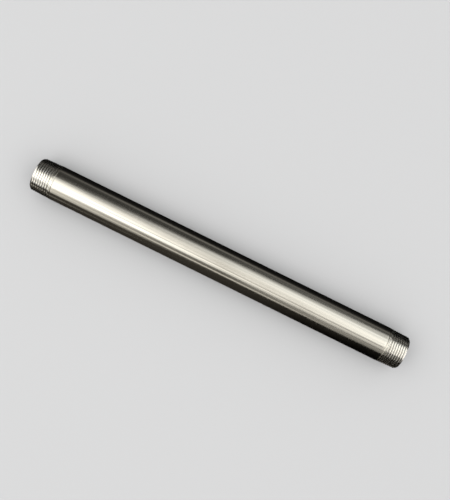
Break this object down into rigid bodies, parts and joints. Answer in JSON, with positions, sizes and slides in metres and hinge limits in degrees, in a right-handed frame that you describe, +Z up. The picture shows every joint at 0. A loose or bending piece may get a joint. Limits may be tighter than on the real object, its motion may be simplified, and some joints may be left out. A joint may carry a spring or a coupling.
{
  "type": "pipe nipple",
  "caption": "Straight length of steel pipe with a right-hand taper pipe thread cut into each end, for joining two female-threaded fittings.",
  "frame": {"origin": "on the bore's axis, half way between the two end faces, which is the centre of the part's box", "axes": "+X along the pipe towards one end, +Z up with the pipe lying level; the two ends are the same"},
  "size_m": [0.3048, 0.0266, 0.0266],
  "materials": {
    "stainless_steel": "satin mill finish with fine lines along the pipe; the threads are as cut"
  },
  "bodies": {
    "root": {"pipe_nipple": "stainless_steel"}
  },
  "joints": []
}
